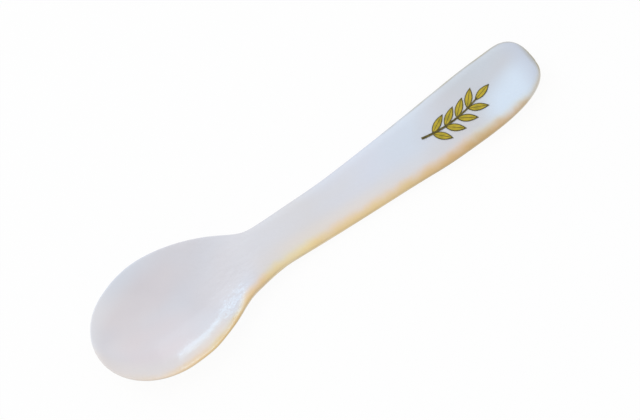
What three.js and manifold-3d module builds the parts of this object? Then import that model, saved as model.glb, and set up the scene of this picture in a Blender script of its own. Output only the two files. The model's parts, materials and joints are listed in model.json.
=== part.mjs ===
// A caviar spoon carved from one plate of mother-of-pearl, with a gilt leaf sprig on its handle.
// Millimetres, +Z up. X runs from the bowl's tip (-X) to the handle's end (+X), and the spoon lies on Z = 0.

import * as THREE from "three";
import { LoftGeometry } from "three/addons/geometries/LoftGeometry.js";
import { mergeVertices } from "three/addons/utils/BufferGeometryUtils.js";
import Module from "manifold-3d";

// Outline, seen from above
const LENGTH = 120; // bowl tip to handle end
const BOWL_WIDTH = 30.7; // at its widest
const BOWL_NOSE = 17.9; // bowl tip to the bowl's widest place
const BOWL_HEEL = 27.2; // widest place to where the bowl's oval would close behind it
const FAR_HEEL_FULLNESS = 1.7; // 2 is an ellipse, less is a leaner oval, on the +Y side
const NEAR_HEEL_FULLNESS = 1.53; // and on the -Y side, where the hand-cut outline is leaner
const NECK_FROM_TIP = 42.2; // bowl tip to the neck, where the hollow has run out
const NECK_WIDTH = 12.5;
const HANDLE_WIDTH = 17.8; // at its widest, before the rounded end
const FAR_NECK_SHARPNESS = 6.5; // more makes a tighter corner between bowl and handle, on the +Y side
const NEAR_NECK_SHARPNESS = 3.5; // and on the -Y side
const FAR_END_ROUND = 7.3; // length of the handle's rounded end on the +Y side
const NEAR_END_ROUND = 19.2; // and on the -Y side, where the end slopes away
const END_FULLNESS = 2.65; // 2 rounds the handle's end as an ellipse, more makes it blunter

// Side view
const BOWL_DEPTH = 4.3; // rim to the floor of the hollow
const HOLLOW_FULLNESS = 3; // more keeps the hollow deep for longer on its way to the neck
const HOLLOW_EASE = 1.5; // more runs it out more gently there
const FLOOR_THICKNESS = 1.7; // shell left under the hollow
const RIM_THICKNESS = 1.5;
const NOSE_LIFT = 0.8; // rise of the rim towards the bowl's tip
const RIM_CROWN = 0.3; // rise of the rim's top above the line where top and underside meet
const THICKEN_FROM_TIP = 27; // bowl tip to where the rim begins to thicken towards the neck
const NECK_CROWN = 1.4; // rise of the neck's top above its edges
const NECK_KEEL = 2.5; // drop of the neck's underside below them
const HANDLE_CROWN = 1.5;
const HANDLE_KEEL = 1.7;
const TOUCH_FROM_END = 55; // where the handle's underside meets the table
const END_LIFT = 3.3; // rise of the handle's end above that place

// Edges and the resting flat
const RIM_SQUARENESS = 4.5; // 2 is an elliptical edge, more is a squarer one
const HANDLE_SQUARENESS = 3.2;
const NOSE_ROUND = 1.3; // length over which the rim rounds off at the bowl's tip
const END_ROUND = 2.2; // the same at the handle's end
const REST_FLAT_WIDTH = 7; // flat ground under the bowl, on which the spoon lies
const HANDLE_GRIND = 0.1; // ground off the handle's keel, so that it lies steady there too

// Gilt sprig
const SPRIG_FROM_END = 21.5; // handle end to the middle of the sprig
const STEM_LENGTH = 15.6;
const STEM_WIDTH = 0.6; // at its foot
const STEM_TIP_WIDTH = 0.35;
const STEM_BOW = 1.1; // how far the stem bends sideways
const LEAF_PAIRS = 4;
const LEAF_LENGTH = 5.2;
const LEAF_WIDTH = 1.9;
const LEAF_WIDEST = 2.4; // foot of a leaf to its widest place
const TOP_LEAF_LENGTH = 5;
const TOP_LEAF_SEAT = 0.8; // how far the stem runs on into the top leaf
const FIRST_PAIR = 2.6; // foot of the stem to the lowest pair of leaves
const LEAF_ANGLE = THREE.MathUtils.degToRad(40); // between a leaf and the stem
const GILT_THICKNESS = 0.12;
const GILT_CLEARANCE = 0.05; // between the gilt and the shell under it

// Fineness of the surfaces
const NOSE_STEPS = 16;
const MIDDLE_STEPS = 40;
const END_STEPS = 16;
const SIDE_STEPS = 20; // across the top, and across the underside
const CAP_ANGLE = 0.03; // radians of the end arcs left to the small end caps
const LEAF_STEPS = 8;
const STEM_STEPS = 16;

// Stations along the spoon
const TIP_X = -LENGTH / 2;
const END_X = LENGTH / 2;
const WIDEST_X = TIP_X + BOWL_NOSE;
const THICKEN_X = TIP_X + THICKEN_FROM_TIP;
const NECK_X = TIP_X + NECK_FROM_TIP;
const TOUCH_X = END_X - TOUCH_FROM_END;
const END_ARC_X = END_X - Math.max(FAR_END_ROUND, NEAR_END_ROUND);
const SPRIG_X = END_X - SPRIG_FROM_END;

// Height of the edge line at the bowl and where the handle lies, and how deep the bowl reaches below it
const RIM_EDGE = BOWL_DEPTH + FLOOR_THICKNESS - RIM_CROWN;
const HANDLE_EDGE = HANDLE_KEEL - HANDLE_GRIND;
const HOLLOW = RIM_EDGE + RIM_THICKNESS / 2 - FLOOR_THICKNESS;
const BELLY = (RIM_EDGE - RIM_THICKNESS / 2) / (1 - (REST_FLAT_WIDTH / BOWL_WIDTH) ** 2);

const { clamp, lerp, smoothstep } = THREE.MathUtils;

// A quarter of an oval: 1 at its start and 0 once the distance has used up the reach.
function quarterOval(distance, reach, fullness = 2) {
  const share = clamp(distance / reach, 0, 1);
  return (1 - share ** fullness) ** (1 / fullness);
}

// Stations for the sections, closer together where the ends round off.
function stations() {
  const arc = Math.PI / 2 - CAP_ANGLE;
  const places = [];
  for (let step = 0; step < NOSE_STEPS; step++) {
    places.push(WIDEST_X - BOWL_NOSE * Math.cos(CAP_ANGLE + (arc * step) / NOSE_STEPS));
  }
  for (let step = 0; step < MIDDLE_STEPS; step++) {
    places.push(lerp(WIDEST_X, END_ARC_X, step / MIDDLE_STEPS));
  }
  for (let step = 0; step <= END_STEPS; step++) {
    places.push(lerp(END_ARC_X, END_X, Math.sin((arc * step) / END_STEPS)));
  }
  return places;
}

// Half width on the +Y side (1) or the -Y side (-1).
// The oval bowl and the tapered handle are blended into each other at the neck.
function halfWidth(x, side) {
  if (x <= WIDEST_X) return (BOWL_WIDTH / 2) * quarterOval(WIDEST_X - x, BOWL_NOSE);
  const fullness = side > 0 ? FAR_HEEL_FULLNESS : NEAR_HEEL_FULLNESS;
  const bowl = (BOWL_WIDTH / 2) * quarterOval(x - WIDEST_X, BOWL_HEEL, fullness);
  const run = clamp((x - NECK_X) / (END_ARC_X - NECK_X), 0, 1);
  const flare = run * run * (2 - run); // slow at the neck, steady towards the end
  const width = lerp(NECK_WIDTH, HANDLE_WIDTH, flare);
  const endRound = side > 0 ? FAR_END_ROUND : NEAR_END_ROUND;
  const handle = (width / 2) * quarterOval(x - (END_X - endRound), endRound, END_FULLNESS);
  const grown = handle * smoothstep(x, WIDEST_X, NECK_X);
  const sharpness = side > 0 ? FAR_NECK_SHARPNESS : NEAR_NECK_SHARPNESS;
  return (bowl ** sharpness + grown ** sharpness) ** (1 / sharpness);
}

// 0 in the bowl, 1 from the neck on: how far the handle's section has taken over from the rim's.
const handleShare = (x) => smoothstep(x, THICKEN_X, NECK_X);

// Height of the edge, the line along which the top and the underside meet.
function edgeHeight(x) {
  if (x < WIDEST_X) return RIM_EDGE + NOSE_LIFT * ((WIDEST_X - x) / BOWL_NOSE) ** 2;
  if (x > TOUCH_X) return HANDLE_EDGE + END_LIFT * ((x - TOUCH_X) / TOUCH_FROM_END) ** 2;
  return lerp(RIM_EDGE, HANDLE_EDGE, smoothstep(x, WIDEST_X, TOUCH_X));
}

// How far the middle of the top (face 1) or of the underside (face -1) stands off the edge.
// This leaves out the bowl, and rounds off to nothing at both ends of the spoon.
function swell(x, face) {
  const neck = lerp(RIM_THICKNESS / 2, face > 0 ? NECK_CROWN : NECK_KEEL, handleShare(x));
  const full = lerp(neck, face > 0 ? HANDLE_CROWN : HANDLE_KEEL, smoothstep(x, NECK_X, TOUCH_X));
  const nose = quarterOval(TIP_X + NOSE_ROUND - x, NOSE_ROUND);
  const end = quarterOval(x - (END_X - END_ROUND), END_ROUND);
  return full * nose * end;
}

// How deep the bowl is at a station, as a share of its full depth.
function bowlShare(x) {
  if (x <= WIDEST_X) return 1 - ((WIDEST_X - x) / BOWL_NOSE) ** 2;
  const run = clamp((x - WIDEST_X) / (NECK_X - WIDEST_X), 0, 1);
  return (1 - run ** HOLLOW_FULLNESS) ** HOLLOW_EASE;
}

// Height of the top (face 1) or the underside (face -1). across runs from -1 to 1 between the edges.
function surfaceHeight(x, across, face) {
  const squareness = lerp(RIM_SQUARENESS, HANDLE_SQUARENESS, handleShare(x));
  const rounding = quarterOval(Math.abs(across), 1, squareness);
  const dish = (face > 0 ? HOLLOW : BELLY) * bowlShare(x) * (1 - across * across);
  return Math.max(edgeHeight(x) + face * swell(x, face) * rounding - dish, 0);
}

// One closed section across the spoon, from the +Y edge over the top to the -Y edge and back underneath.
function section(x) {
  const points = [];
  for (const face of [1, -1]) {
    for (let step = 0; step < SIDE_STEPS; step++) {
      const across = face * Math.cos((Math.PI * step) / SIDE_STEPS);
      points.push(new THREE.Vector3(x, across * halfWidth(x, across), surfaceHeight(x, across, face)));
    }
  }
  return points;
}

const wasm = await Module();
wasm.setup();

// A closed geometry as a solid that can be joined to others.
function solidOf(geometry) {
  const bare = new THREE.BufferGeometry();
  bare.setAttribute("position", geometry.getAttribute("position"));
  bare.setIndex(geometry.index);
  const merged = mergeVertices(bare);
  return new wasm.Manifold(new wasm.Mesh({
    numProp: 3,
    vertProperties: merged.getAttribute("position").array,
    triVerts: new Uint32Array(merged.index.array),
  }));
}

// A pointed leaf from its foot at the origin along +X. Each side passes halfway to its control point.
function leafShape(length) {
  const control = 2 * LEAF_WIDEST - length / 2;
  const shape = new THREE.Shape();
  shape.moveTo(0, 0);
  shape.quadraticCurveTo(control, -LEAF_WIDTH, length, 0);
  shape.quadraticCurveTo(control, LEAF_WIDTH, 0, 0);
  return shape;
}

const foil = (shape) => new THREE.ExtrudeGeometry(shape, {
  depth: GILT_THICKNESS,
  curveSegments: LEAF_STEPS,
  bevelEnabled: false,
});

// The sprig laid out flat, with the middle of its length at the origin and its stem rising along +X.
function flatSprig() {
  const reach = (STEM_LENGTH - TOP_LEAF_SEAT + TOP_LEAF_LENGTH) / 2;
  const foot = new THREE.Vector2(-reach, 0);
  const top = new THREE.Vector2(STEM_LENGTH - reach, 0);
  const bend = new THREE.Vector2((foot.x + top.x) / 2, -2 * STEM_BOW);
  const stem = new THREE.QuadraticBezierCurve(foot, bend, top);
  const leftEdge = [];
  const rightEdge = [];
  for (let step = 0; step <= STEM_STEPS; step++) {
    const share = step / STEM_STEPS;
    const middle = stem.getPointAt(share);
    const aside = stem.getTangentAt(share).rotateAround(new THREE.Vector2(), Math.PI / 2);
    aside.multiplyScalar(lerp(STEM_WIDTH, STEM_TIP_WIDTH, share) / 2);
    leftEdge.push(middle.clone().add(aside));
    rightEdge.push(middle.clone().sub(aside));
  }
  let sprig = solidOf(foil(new THREE.Shape([...rightEdge, ...leftEdge.reverse()])));
  const addLeaf = (share, length, turn) => {
    const at = stem.getPointAt(share);
    const leaf = foil(leafShape(length));
    leaf.rotateZ(stem.getTangentAt(share).angle() + turn);
    leaf.translate(at.x, at.y, 0);
    sprig = sprig.add(solidOf(leaf));
  };
  for (let pair = 0; pair < LEAF_PAIRS; pair++) {
    const place = lerp(FIRST_PAIR, STEM_LENGTH, pair / LEAF_PAIRS) / STEM_LENGTH;
    addLeaf(place, LEAF_LENGTH, LEAF_ANGLE);
    addLeaf(place, LEAF_LENGTH, -LEAF_ANGLE);
  }
  addLeaf(1 - TOP_LEAF_SEAT / STEM_LENGTH, TOP_LEAF_LENGTH, 0);
  return sprig.getMesh();
}

// The flat sprig moved to its place and bent down onto the handle's crowned top.
function giltSprig() {
  const flat = flatSprig();
  const points = new Float32Array(flat.numVert * 3);
  for (let index = 0; index < flat.numVert; index++) {
    const point = new THREE.Vector3().fromArray(flat.vertProperties, index * flat.numProp);
    const x = SPRIG_X + point.x;
    const across = point.y / halfWidth(x, point.y);
    points.set([x, point.y, surfaceHeight(x, across, 1) + GILT_CLEARANCE + point.z], index * 3);
  }
  const geometry = new THREE.BufferGeometry();
  geometry.setAttribute("position", new THREE.BufferAttribute(points, 3));
  geometry.setIndex(new THREE.BufferAttribute(new Uint32Array(flat.triVerts), 1));
  geometry.computeVertexNormals();
  return geometry;
}

const nacre = new THREE.MeshStandardMaterial({ color: 0xd6d9e4, roughness: 0.2, metalness: 0 });
const gilt = new THREE.MeshStandardMaterial({ color: 0xa8922a, roughness: 0.35, metalness: 0.8 });

const carved = new LoftGeometry(stations().map(section), { capStart: true, capEnd: true });
const body = new THREE.Mesh(carved, nacre);
body.name = "spoon_body";

const sprig = new THREE.Mesh(giltSprig(), gilt);
sprig.name = "gilt_sprig";

const spoon = new THREE.Group();
spoon.add(body, sprig);

export default spoon;
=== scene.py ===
import json
import math

import bpy
from mathutils import Matrix, Vector

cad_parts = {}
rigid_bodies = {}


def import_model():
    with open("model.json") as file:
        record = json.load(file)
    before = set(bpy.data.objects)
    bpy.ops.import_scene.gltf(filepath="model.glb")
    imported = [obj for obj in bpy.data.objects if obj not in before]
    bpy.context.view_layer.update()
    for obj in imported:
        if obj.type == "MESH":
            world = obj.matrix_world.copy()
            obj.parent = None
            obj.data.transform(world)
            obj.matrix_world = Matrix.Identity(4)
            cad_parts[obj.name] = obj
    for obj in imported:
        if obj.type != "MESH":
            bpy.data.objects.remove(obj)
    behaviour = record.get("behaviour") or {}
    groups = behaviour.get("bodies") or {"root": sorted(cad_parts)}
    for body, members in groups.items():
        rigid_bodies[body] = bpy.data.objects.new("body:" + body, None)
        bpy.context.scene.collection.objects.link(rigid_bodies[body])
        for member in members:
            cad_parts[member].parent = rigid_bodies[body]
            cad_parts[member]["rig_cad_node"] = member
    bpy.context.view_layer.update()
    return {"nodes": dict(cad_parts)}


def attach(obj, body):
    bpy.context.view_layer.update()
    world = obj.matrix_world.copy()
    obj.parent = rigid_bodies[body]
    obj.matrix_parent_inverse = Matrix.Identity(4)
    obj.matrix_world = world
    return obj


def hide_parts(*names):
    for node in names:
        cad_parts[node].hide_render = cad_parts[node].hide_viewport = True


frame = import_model()

# The spoon: one plate of mother-of-pearl, sawn to outline, hollowed at the bowl and polished all over.
# The saw left the shell's golden outer layer along one edge, a thinner olive one on the handle's other
# side, and patches underneath. The grown layers show as soft pink, lilac and blue clouds.
MM = 0.001
HALF_LENGTH = 60 * MM
MERGE_REACH = 0.001 * MM
TIP_NORMAL, TIP_DEPTH = 0.95, 0.1 * MM
SMOOTHING_STEPS = 2


def pick_only(piece):
    """Makes a piece the one that is selected and active."""
    bpy.ops.object.select_all(action="DESELECT")
    piece.select_set(True)
    bpy.context.view_layer.objects.active = piece


def pick_parts(piece, parts, wanted):
    """Leaves the piece in edit mode with those of its parts selected for which wanted(part) is true."""
    bpy.ops.object.mode_set(mode="EDIT")
    bpy.ops.mesh.select_mode(type={"vertices": "VERT", "edges": "EDGE", "polygons": "FACE"}[parts])
    bpy.ops.mesh.select_all(action="DESELECT")
    bpy.ops.object.mode_set(mode="OBJECT")
    for part in getattr(piece.data, parts):
        part.select = wanted(part)
    bpy.ops.object.mode_set(mode="EDIT")


pick_only(frame["nodes"]["spoon_body"])
bpy.ops.object.duplicate()
spoon = bpy.context.active_object
spoon.name = spoon.data.name = "carved_spoon"
del spoon["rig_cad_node"]
spoon.data.materials.clear()
bpy.ops.object.mode_set(mode="EDIT")
bpy.ops.mesh.select_all(action="SELECT")
bpy.ops.mesh.remove_doubles(threshold=MERGE_REACH)
bpy.ops.mesh.tris_convert_to_quads(face_threshold=math.pi, shape_threshold=math.pi)
for tip in (-1, 1):
    pick_parts(spoon, "polygons", lambda face: (
        face.normal.x * tip > TIP_NORMAL and face.center.x * tip > HALF_LENGTH - TIP_DEPTH))
    bpy.ops.mesh.dissolve_faces()
bpy.ops.object.mode_set(mode="OBJECT")

# The outline was cut by hand, so its line wanders. Each wander has its place along the spoon, how far the
# edge stands out there, or in where that is below 0, and its reach to either side, all in millimetres.
NEAR, FAR = -1, 1
HAND_CUT = {
    NEAR: ((-37, 0.33, 5), (-33, 0.32, 7), (-24, -0.64, 5), (-16.5, 0.5, 4.5), (31, 0.27, 11)),
    FAR: ((-56, 0.3, 6), (-5, 0.2, 11), (46, 0.15, 7)),
}


def station_of(point):
    """A vertex's place along the spoon, in millimetres."""
    return round(point.co.x / MM, 3)


def edge_of(piece, side):
    """How far across the spoon its outermost vertex on a side is, at each station."""
    edge = {}
    for point in piece.data.vertices:
        station = station_of(point)
        edge[station] = side * max(side * edge.get(station, 0), side * point.co.y)
    return edge


def swell_at(station, wanders):
    """How far the edge stands out at a station, with a smooth step on both sides of each wander's place."""
    swell = 0
    for middle, outward, spread in wanders:
        share = max(0, 1 - abs(station - middle) / spread)
        swell += outward * share * share * (3 - 2 * share)
    return swell


for side, wanders in HAND_CUT.items():
    for station, edge in edge_of(spoon, side).items():
        swell = swell_at(station, wanders)
        if swell:
            pick_parts(spoon, "vertices", lambda point: (
                station_of(point) == station and point.co.y * side > 0))
            bpy.ops.transform.resize(value=(1, 1 + swell * MM / abs(edge), 1), center_override=(0, 0, 0))
            bpy.ops.object.mode_set(mode="OBJECT")

near_edge, far_edge = edge_of(spoon, NEAR), edge_of(spoon, FAR)
from_near = spoon.data.attributes.new("from_near_edge", "FLOAT", "POINT")
from_far = spoon.data.attributes.new("from_far_edge", "FLOAT", "POINT")
for point, near, far in zip(spoon.data.vertices, from_near.data, from_far.data):
    near.value = (point.co.y - near_edge[station_of(point)]) / MM
    far.value = (far_edge[station_of(point)] - point.co.y) / MM

smoothing = spoon.modifiers.new("smoothing", "SUBSURF")
smoothing.levels = smoothing.render_levels = SMOOTHING_STEPS
bpy.ops.object.modifier_apply(modifier=smoothing.name)
bpy.ops.object.shade_smooth()


class Wire:
    """A node's output in a material. Python's arithmetic on it adds Math nodes."""

    MIX_SHARE, MIX_FIRST, MIX_SECOND, MIX_RESULT = 0, 6, 7, 2

    def __init__(self, tree, socket=None):
        self.tree, self.socket = tree, socket

    def node(self, kind, settings, sockets, output=0):
        """Adds a node with its settings, sets or links its sockets, and gives one of its outputs."""
        made = self.tree.nodes.new("ShaderNode" + kind)
        for name, value in settings.items():
            if name == "stops":
                while len(made.color_ramp.elements) < len(value):
                    made.color_ramp.elements.new(1)
                for element, (position, colour) in zip(made.color_ramp.elements, value):
                    element.position, element.color = position, colour
            else:
                setattr(made, name, value)
        for name, value in sockets.items():
            if isinstance(value, Wire):
                self.tree.links.new(value.socket, made.inputs[name])
            else:
                made.inputs[name].default_value = value
        return Wire(self.tree, made.outputs[output])

    def math(self, operation, first, second):
        return self.node("Math", {"operation": operation}, {0: first, 1: second})

    def __add__(self, other):
        return self.math("ADD", self, other)

    __radd__ = __add__

    def __sub__(self, other):
        return self.math("SUBTRACT", self, other)

    def __rsub__(self, other):
        return self.math("SUBTRACT", other, self)

    def __mul__(self, other):
        return self.math("MULTIPLY", self, other)

    __rmul__ = __mul__

    def rise(self, low, high):
        """0 at low, 1 at high, and a smooth step between them."""
        return self.node("MapRange", {"interpolation_type": "SMOOTHSTEP"},
                         {"Value": self, "From Min": low, "From Max": high})

    def zone(self, start, full, fade, end):
        """1 from full to fade, 0 before start and after end, and smooth steps between them."""
        return self.rise(start, full) * self.rise(end, fade)

    def noise(self, scale, detail):
        """Soft noise about 0.5. A higher scale makes smaller clouds, and detail adds finer ones to them."""
        return self.node("TexNoise", {}, {"Vector": self, "Scale": scale, "Detail": detail})

    def stretched(self, scale):
        """A place whose pattern is drawn out along each axis that has a scale below 1."""
        return self.node("Mapping", {}, {"Vector": self, "Scale": scale})

    def mixed(self, share, first, second):
        """The first colour where the share is 0, and the second where it is 1."""
        return self.node("Mix", {"data_type": "RGBA"}, {
            self.MIX_SHARE: share, self.MIX_FIRST: first, self.MIX_SECOND: second}, self.MIX_RESULT)

    def tinted(self, colour, share):
        """This colour with a share of another mixed in."""
        return self.mixed(share, self, colour)


def paint(red, green, blue):
    """A colour from its 0 to 255 screen values, by the sRGB curve."""
    linear = [((c / 255 + 0.055) / 1.055) ** 2.4 for c in (red, green, blue)]
    return (*linear, 1)


ROSE = paint(226, 211, 214)
SKY = paint(206, 216, 230)
# painted highlights, for the bowl's far rim and round its tip
RIM_HIGHLIGHT_BLUE = paint(219, 226, 237)
NOSE_HIGHLIGHT_WHITE = paint(238, 233, 233)
WARM_GREY = paint(223, 216, 212)
APRICOT = paint(232, 214, 196)
HEEL_BLUE = paint(204, 211, 228)
IVORY = paint(236, 223, 206)
# a painted highlight and a painted shade, for the handle's end
END_HIGHLIGHT_BLUE = paint(216, 230, 246)
END_SHADE_GREY = paint(198, 205, 220)
CREAM = paint(227, 222, 200)
BLUSH = paint(232, 212, 198)
HONEY = paint(228, 186, 132)
SAWN_GOLD = paint(190, 162, 108)
OLIVE = paint(166, 155, 118)
GROUND_GOLD = paint(222, 196, 148)
NACRE_ROUGHNESS, NACRE_COAT, COAT_ROUGHNESS = 0.12, 0.5, 0.32

# The nacre's pattern is laid out in millimetres from the spoon's middle and from its two edges.
nacre = bpy.data.materials.new("nacre")
nacre.use_nodes = True
shell = Wire(nacre.node_tree)
place = shell.node("TexCoord", {}, {}, "Object")
along, across = (shell.node("SeparateXYZ", {}, {0: place}, axis) * (1 / MM) for axis in "XY")
facing_up = shell.node("SeparateXYZ", {}, {0: shell.node("NewGeometry", {}, {}, "Normal")}, "Z")
to_near = shell.node("Attribute", {"attribute_name": "from_near_edge"}, {}, "Fac")
to_far = shell.node("Attribute", {"attribute_name": "from_far_edge"}, {}, "Fac")
from_tip = (along + HALF_LENGTH / MM) * (MM / (2 * HALF_LENGTH))

# The pearl's colour drifts from the bowl's tip to the handle's end, in clouds. Its last stop is painted
# shade.
clouds = place.stretched((0.6, 1, 1)).noise(scale=70, detail=2) - 0.5
pearl_and_painted_light = shell.node("ValToRGB", {"stops": [
    (0.00, paint(231, 228, 231)),
    (0.18, paint(213, 210, 216)),
    (0.34, paint(220, 220, 226)),
    (0.46, paint(217, 216, 220)),
    (0.60, paint(215, 219, 231)),
    (0.74, paint(211, 221, 234)),
    # painted shade: the greyer colour on the handle's end
    (0.88, paint(200, 205, 212)),
]}, {"Fac": from_tip + clouds * 0.3})

# Fainter pink and blue clouds where other layers come to the surface, and a rosy pool in the bowl. A painted
# highlight makes the rim paler on the bowl's far side and round its tip.
POOL_ALONG, POOL_ACROSS = -47, -4
rosy = place.stretched((0.7, 1, 1)).noise(scale=64, detail=1).rise(0.42, 0.75)
cool = place.stretched((0.7, 1, 1)).noise(scale=91, detail=1).rise(0.42, 0.75)
pool_along, pool_across = along - POOL_ALONG, across - POOL_ACROSS
pool = (pool_along * pool_along + pool_across * pool_across * 2 + clouds * 150).rise(130, 10)
# painted highlights: a paler rim on the bowl's far side and round its tip
far_rim_highlight = to_far.rise(6, 0) * along.rise(-24, -46)
nose_rim_highlight = (to_far.rise(7, 1) + to_near.rise(7, 1)) * along.rise(-47, -56)
pearl_and_painted_light = pearl_and_painted_light.tinted(ROSE, rosy * 0.2 + pool * 0.3)
pearl_and_painted_light = pearl_and_painted_light.tinted(SKY, cool * 0.25)
# the painted rim highlights
pearl_and_painted_light = pearl_and_painted_light.tinted(RIM_HIGHLIGHT_BLUE, far_rim_highlight * 0.7)
pearl_and_painted_light = pearl_and_painted_light.tinted(NOSE_HIGHLIGHT_WHITE, nose_rim_highlight * 0.42)

# Warmer towards the near edge, where the golden layer is close under the surface: most on the bowl's side,
# less on the outer handle. The bowl's heel is cooler, and the inner handle has a pale fringe.
bowl_side = along.zone(-48, -39, -34, -25)
bowl_heel = along.zone(-34, -28, -23, -17)
handle_side = along.zone(-18, -8, 6, 24)
by_near_edge = to_near.rise(6, 1.5)
pearl_and_painted_light = pearl_and_painted_light.tinted(WARM_GREY, to_near.rise(8, 2) * (0.55 - along.rise(16, 36) * 0.25))
pearl_and_painted_light = pearl_and_painted_light.tinted(APRICOT, by_near_edge * bowl_side * 0.65)
pearl_and_painted_light = pearl_and_painted_light.tinted(HEEL_BLUE, bowl_heel * to_near.rise(8, 3) * 0.5)
pearl_and_painted_light = pearl_and_painted_light.tinted(IVORY, by_near_edge * handle_side * 0.45)

# A painted highlight, a bright blue patch, on the near half of the handle's end, and painted shade on its
# tip.
highlight_slant = (along - 50) * 0.3 - across - 1 + clouds * 8
pearl_and_painted_light = pearl_and_painted_light.tinted(END_HIGHLIGHT_BLUE, highlight_slant.rise(-3, 3) * along.rise(40, 48))
pearl_and_painted_light = pearl_and_painted_light.tinted(END_SHADE_GREY, along.rise(53, 59) * 0.8)

# The golden layer: along the near edge, fading towards the bowl's tip and the handle's end. On the sawn sides
# the grown layers show as fine lines.
GOLD_REACH = 0.85
edge_noise = place.noise(scale=260, detail=3) - 0.5
lines = place.stretched((0.06, 0.06, 1)).noise(scale=1600, detail=2).rise(0.4, 0.62)
honey = place.noise(scale=95, detail=1).rise(0.4, 0.6)
reach = GOLD_REACH + bowl_side * 0.2 + along.rise(14, 32) * 0.35 - along.rise(39, 57) * 1.5
depth = reach - to_near + edge_noise * 2
nose_fade = along.rise(-62, -36)
pearl_and_painted_light = pearl_and_painted_light.tinted(shell.mixed(honey, CREAM, BLUSH), depth.rise(-2.4, 0.5) * nose_fade * 0.7)
gold = shell.node("ValToRGB", {"stops": [
    (0.10, paint(236, 214, 166)),
    (0.25, paint(222, 190, 134)),
    (0.40, paint(244, 221, 163)),
    (0.60, paint(238, 216, 155)),
    (0.78, paint(208, 174, 118)),
    (0.92, paint(206, 172, 118)),
]}, {"Fac": from_tip})
gold = gold.tinted(HONEY, honey * 0.35)
gold = gold.tinted(SAWN_GOLD, facing_up.rise(0.5, -0.1) * (lines * 0.4 + 0.1 + along.rise(8, 28) * 0.3))
colour = pearl_and_painted_light.tinted(gold, depth.rise(-1.6, 1.1) * nose_fade)

# A thinner olive layer on the far side of the handle, and round its end.
far_side = to_far.rise(1.1, 0.2) * (along + edge_noise * 40).rise(14, 46)
far_layer = shell.math("MAXIMUM", far_side, along.rise(58.4, 59.8))
colour = colour.tinted(OLIVE, far_layer * (lines * 0.4 + 0.5))

# Underneath, the wheel left patches of the golden layer.
patches = place.stretched((0.5, 1, 1)).noise(scale=90, detail=3) + to_near.rise(9, 0) * 0.2
colour = colour.tinted(GROUND_GOLD, patches.rise(0.45, 0.72) * facing_up.rise(-0.1, -0.6) * 0.8)

# Slow waves left by the polishing wheel, and the fine grain of the layers that it cut through, which is
# strongest at the bowl's heel.
POLISH_DEPTH = 0.04 * MM
grain = along.rise(-36, -26) * 3.4 - along.rise(-22, -12) * 2.5 + 0.4
fine_grain = place.stretched((0.5, 1, 1)).noise(scale=900, detail=2) * grain
waves = place.noise(scale=170, detail=1) * 2.5 + fine_grain
polish = shell.node("Bump", {}, {"Height": waves, "Strength": 1, "Distance": POLISH_DEPTH})
shine = nacre.node_tree.nodes["Principled BSDF"]
shine.inputs["Roughness"].default_value = NACRE_ROUGHNESS
shine.inputs["Coat Weight"].default_value = NACRE_COAT
shine.inputs["Coat Roughness"].default_value = COAT_ROUGHNESS
nacre.node_tree.links.new(polish.socket, shine.inputs["Normal"])
nacre.node_tree.links.new(colour.socket, shine.inputs["Base Color"])
spoon.data.materials.append(nacre)

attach(spoon, "root")
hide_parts("spoon_body")

# The gilt sprig: a spray of leaves printed on the handle in gold, each leaf with a dark outline and rib.
# The stem is printed last and covers the feet of the leaves.
SPRIG_MIDDLE = 38.5 * MM
STEM_LENGTH, STEM_WIDTH, STEM_TIP_WIDTH, STEM_BOW = 15.6 * MM, 0.6 * MM, 0.35 * MM, 1.1 * MM
STEM_STEPS = 24
LEAF_PAIRS, FIRST_PAIR, LEAF_ANGLE = 4, 2.6 * MM, math.radians(40)
LEAF_LENGTH, LEAF_WIDTH, LEAF_WIDEST, LEAF_STEPS = 5.2 * MM, 1.9 * MM, 2.4 * MM, 8
TOP_LEAF_LENGTH, TOP_LEAF_SEAT = 5 * MM, 0.8 * MM
OUTLINE_WIDTH, RIB_WIDTH = 0.22 * MM, 0.14 * MM
RIB_START = 1.1 * OUTLINE_WIDTH
FILM_CLEARANCE, LEAF_FILM, STEM_FILM, STEM_GAP = 0.05 * MM, 0.055 * MM, 0.055 * MM, 0.005 * MM
CREASE_ANGLE = math.radians(30)
BENCH = 10  # pieces are laid out this far from the spoon, so that moved points are told from the rest
GRID_SIDE = 2
DROP_HEIGHT = 10 * MM
GOLD, DARK = 0, 1
GOLD_METAL, GOLD_ROUGHNESS, THIN_ROUGHNESS = 0.6, 0.3, 0.5
INK_METAL, INK_ROUGHNESS = 0.4, 0.45

gilt = bpy.data.materials.new("gilt")
gilt.use_nodes = True
film = Wire(gilt.node_tree)
thin = film.node("TexCoord", {}, {}, "Object").noise(scale=900, detail=3).rise(0.35, 0.7)
gold_leaf = film.mixed(thin, paint(188, 166, 48), paint(160, 146, 44))
roughness = thin * (THIN_ROUGHNESS - GOLD_ROUGHNESS) + GOLD_ROUGHNESS
sheen = gilt.node_tree.nodes["Principled BSDF"]
sheen.inputs["Metallic"].default_value = GOLD_METAL
gilt.node_tree.links.new(gold_leaf.socket, sheen.inputs["Base Color"])
gilt.node_tree.links.new(roughness.socket, sheen.inputs["Roughness"])

outline = bpy.data.materials.new("gilt_outline")
outline.use_nodes = True
line = Wire(outline.node_tree)
worn = line.node("TexCoord", {}, {}, "Object").noise(scale=1200, detail=2).rise(0.4, 0.7)
line_ink = line.mixed(worn, paint(78, 70, 26), paint(104, 93, 34))
ink = outline.node_tree.nodes["Principled BSDF"]
ink.inputs["Metallic"].default_value = INK_METAL
ink.inputs["Roughness"].default_value = INK_ROUGHNESS
outline.node_tree.links.new(line_ink.socket, ink.inputs["Base Color"])


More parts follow.
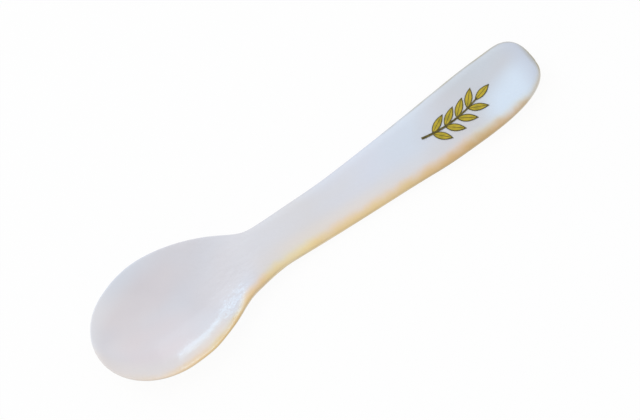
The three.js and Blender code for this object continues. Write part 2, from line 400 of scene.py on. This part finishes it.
def shaped_strip(name, steps, rows, column_at):
    """A flat grid whose columns go to the places and half widths that column_at(share) gives."""
    bpy.ops.object.select_all(action="DESELECT")
    bpy.ops.mesh.primitive_grid_add(
        x_subdivisions=steps, y_subdivisions=rows, size=GRID_SIDE, location=(BENCH, 0, 0))
    strip = bpy.context.active_object
    strip.name = strip.data.name = name
    for material in (gilt, outline):
        strip.data.materials.append(material)
    half_step = GRID_SIDE / steps / 2
    for step in range(steps + 1):
        start = GRID_SIDE * step / steps - GRID_SIDE / 2
        pick_parts(strip, "vertices", lambda point: abs(point.co.x - start) < half_step)
        x, y, half = column_at(step / steps)
        bpy.ops.transform.resize(value=(1, half, 1), center_override=(BENCH + start, 0, 0))
        bpy.ops.transform.translate(value=(x - BENCH - start, y, 0))
    bpy.ops.mesh.select_all(action="SELECT")
    bpy.ops.mesh.remove_doubles(threshold=MERGE_REACH)
    bpy.ops.object.mode_set(mode="OBJECT")
    bpy.ops.object.transform_apply(location=True, rotation=True, scale=True)
    return strip


def leaf_of(length):
    """A pointed leaf along +X from the origin, with a dark rim and rib and a gold blade."""
    control = 2 * LEAF_WIDEST - length / 2
    blade = shaped_strip("leaf", LEAF_STEPS, 2, lambda t: (
        2 * t * (1 - t) * control + t * t * length, 0, 2 * t * (1 - t) * LEAF_WIDTH))
    bpy.ops.object.mode_set(mode="EDIT")
    bpy.ops.mesh.select_all(action="SELECT")
    bpy.ops.mesh.inset(thickness=OUTLINE_WIDTH, use_boundary=True)
    bpy.ops.object.mode_set(mode="OBJECT")
    for face in blade.data.polygons:
        face.material_index = GOLD if face.select else DARK
    points = blade.data.vertices
    pick_parts(blade, "edges", lambda edge: all(
        abs(points[end].co.y) < MERGE_REACH and RIB_START < points[end].co.x < length - RIB_START
        for end in edge.vertices))
    bpy.ops.mesh.bevel(offset=RIB_WIDTH / 2, segments=1, affect="EDGES", material=DARK)
    bpy.ops.object.mode_set(mode="OBJECT")
    return blade


def stem_at(share):
    """The stem's middle and its direction, at a share of its length from the foot."""
    half_sprig = (STEM_LENGTH - TOP_LEAF_SEAT + TOP_LEAF_LENGTH) / 2
    x = SPRIG_MIDDLE - half_sprig + share * STEM_LENGTH
    y = -4 * STEM_BOW * share * (1 - share)
    return x, y, math.atan2(-4 * STEM_BOW * (1 - 2 * share), STEM_LENGTH)


def laid_on_spoon(flat, thickness, lift):
    """Drops a flat film onto the spoon, lifts it and gives it a thickness."""
    pick_only(flat)
    drop = flat.modifiers.new("drop", "SHRINKWRAP")
    drop.target, drop.wrap_method = spoon, "PROJECT"
    drop.use_project_z, drop.use_negative_direction, drop.use_positive_direction = True, True, False
    bpy.ops.object.modifier_apply(modifier=drop.name)
    flat.location.z = lift
    bpy.ops.object.transform_apply(location=True, rotation=True, scale=True)
    thicken = flat.modifiers.new("thicken", "SOLIDIFY")
    thicken.thickness, thicken.offset = thickness, 1
    bpy.ops.object.modifier_apply(modifier=thicken.name)


leaf, top_leaf = leaf_of(LEAF_LENGTH), leaf_of(TOP_LEAF_LENGTH)
spots = [(1 - TOP_LEAF_SEAT / STEM_LENGTH, 0, top_leaf)]
for pair in range(LEAF_PAIRS):
    share = (FIRST_PAIR + (STEM_LENGTH - FIRST_PAIR) * pair / LEAF_PAIRS) / STEM_LENGTH
    spots += [(share, LEAF_ANGLE, leaf), (share, -LEAF_ANGLE, leaf)]
leaves = []
for share, angle, pattern in spots:
    pick_only(pattern)
    bpy.ops.object.duplicate()
    copy = bpy.context.active_object
    x, y, direction = stem_at(share)
    copy.location, copy.rotation_euler.z = (x, y, DROP_HEIGHT), direction + angle
    bpy.ops.object.transform_apply(location=True, rotation=True, scale=True)
    leaves.append(copy)
for pattern in (leaf, top_leaf):
    bpy.data.objects.remove(pattern)
pick_only(leaves[0])
for copy in leaves:
    copy.select_set(True)
bpy.ops.object.join()
sprig = bpy.context.active_object
laid_on_spoon(sprig, LEAF_FILM, FILM_CLEARANCE)

stem = shaped_strip("stem", STEM_STEPS, 1, lambda share: (
    *stem_at(share)[:2], (STEM_WIDTH + (STEM_TIP_WIDTH - STEM_WIDTH) * share) / 2))
stem.location.z = DROP_HEIGHT
bpy.ops.object.transform_apply(location=True, rotation=True, scale=True)
for face in stem.data.polygons:
    face.material_index = DARK
laid_on_spoon(stem, STEM_FILM, FILM_CLEARANCE + LEAF_FILM + STEM_GAP)
pick_only(sprig)
stem.select_set(True)
bpy.ops.object.join()
sprig.name = sprig.data.name = "gilt_leaf_sprig"
bpy.ops.object.shade_smooth_by_angle(angle=CREASE_ANGLE)
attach(sprig, "root")
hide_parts("gilt_sprig")

# The table: a plain white top under the spoon. It shows white to the camera and in reflections, and takes the
# spoon's soft shadow.
TABLE_SIDE = 3
TABLE_DROP = 0.02 * MM
TABLE_WHITE, TABLE_GLOW = 0.9, 0.94
bpy.ops.object.select_all(action="DESELECT")
bpy.ops.mesh.primitive_plane_add(size=TABLE_SIDE, location=(0, 0, -TABLE_DROP))
table = bpy.context.active_object
table.name = "table_top"
bpy.ops.object.transform_apply(location=True, rotation=True, scale=True)
white = bpy.data.materials.new("white_table")
white.use_nodes = True
surface = Wire(white.node_tree)


def seen(wire):
    """1 for rays that the camera, a reflection or a transmission sends out, 0 for the rest."""
    kinds = ("Is Camera Ray", "Is Glossy Ray", "Is Transmission Ray")
    from_camera, reflected, transmitted = (wire.node("LightPath", {}, {}, kind) for kind in kinds)
    return wire.math("MAXIMUM", wire.math("MAXIMUM", from_camera, reflected), transmitted)


matt = surface.node("BsdfDiffuse", {}, {"Color": (TABLE_WHITE, TABLE_WHITE, TABLE_WHITE, 1)})
glow = surface.node("Emission", {}, {"Color": (1, 1, 1, 1), "Strength": 1})
top = surface.node("MixShader", {}, {0: seen(surface) * TABLE_GLOW, 1: matt, 2: glow})
white.node_tree.links.new(top.socket, white.node_tree.nodes["Material Output"].inputs["Surface"])
table.data.materials.append(white)

# The studio: an even white room with a wide soft lamp overhead. Beyond the spoon is a pale window, whose
# brighter sill and side give the bowl its streak of light.
ROOM_LIGHT = 0.71
world = bpy.data.worlds.new("studio")
bpy.context.scene.world = world
world.use_nodes = True
room = Wire(world.node_tree)
backdrop = world.node_tree.nodes["Background"]
level = seen(room) * (1 - ROOM_LIGHT) + ROOM_LIGHT
backdrop.inputs["Color"].default_value = (1, 1, 1, 1)
world.node_tree.links.new(level.socket, backdrop.inputs["Strength"])


def add_lamp(name, spot, width, height, power, tint):
    """A rectangular lamp that faces the middle of the spoon."""
    bpy.ops.object.light_add(type="AREA", location=spot)
    lamp = bpy.context.active_object
    lamp.name = lamp.data.name = name
    lamp.rotation_euler = (-Vector(spot)).to_track_quat("-Z", "Y").to_euler()
    lamp.data.shape = "RECTANGLE"
    lamp.data.size, lamp.data.size_y = width, height
    lamp.data.energy, lamp.data.color = power, tint
    lamp.visible_camera = False
    return lamp


overhead = add_lamp(
    "overhead", spot=(-0.2, 0.15, 0.65), width=0.6, height=0.6, power=1.3, tint=(0.97, 0.98, 1))
overhead.visible_glossy = False
add_lamp("window_sill", spot=(-0.21, 0.75, 0.3), width=0.36, height=0.09, power=0.37, tint=(0.45, 0.78, 1))
add_lamp("window_side", spot=(-0.335, 0.75, 0.42), width=0.04, height=0.17, power=0.055, tint=(0.5, 0.76, 1))
add_lamp("window", spot=(-0.2, 0.7, 0.5), width=0.7, height=0.4, power=0.5, tint=(0.86, 0.93, 1))

# The camera: beside and above the spoon, rolled so that the handle rises to the right. It stands where the
# spoon's middle falls on the given pixel, at the given scale.
CAMERA_LENS, CAMERA_SENSOR, CAMERA_CLIP = 100, 36, 0.01
AZIMUTH, ELEVATION, ROLL = (math.radians(angle) for angle in (-1.53, 62.12, 33.37))
IMAGE_WIDTH, IMAGE_HEIGHT = 640, 420
PIXELS_PER_MM = 4.354
ORIGIN_PIXEL = (322.8, 216.6)
turn = Matrix.Rotation(AZIMUTH, 3, "Z") @ Matrix.Rotation(math.pi / 2 - ELEVATION, 3, "X")
turn = turn @ Matrix.Rotation(-ROLL, 3, "Z")
aside = (IMAGE_WIDTH / 2 - ORIGIN_PIXEL[0]) / PIXELS_PER_MM * MM
above = (ORIGIN_PIXEL[1] - IMAGE_HEIGHT / 2) / PIXELS_PER_MM * MM
distance = CAMERA_LENS / CAMERA_SENSOR * IMAGE_WIDTH / PIXELS_PER_MM * MM
bpy.ops.object.camera_add(location=turn @ Vector((aside, above, distance)))
camera = bpy.context.active_object
camera.rotation_euler = turn.to_euler()
camera.data.lens = CAMERA_LENS
camera.data.sensor_width = CAMERA_SENSOR
camera.data.clip_start = CAMERA_CLIP
bpy.context.scene.camera = camera
bpy.context.scene.view_settings.view_transform = "Standard"
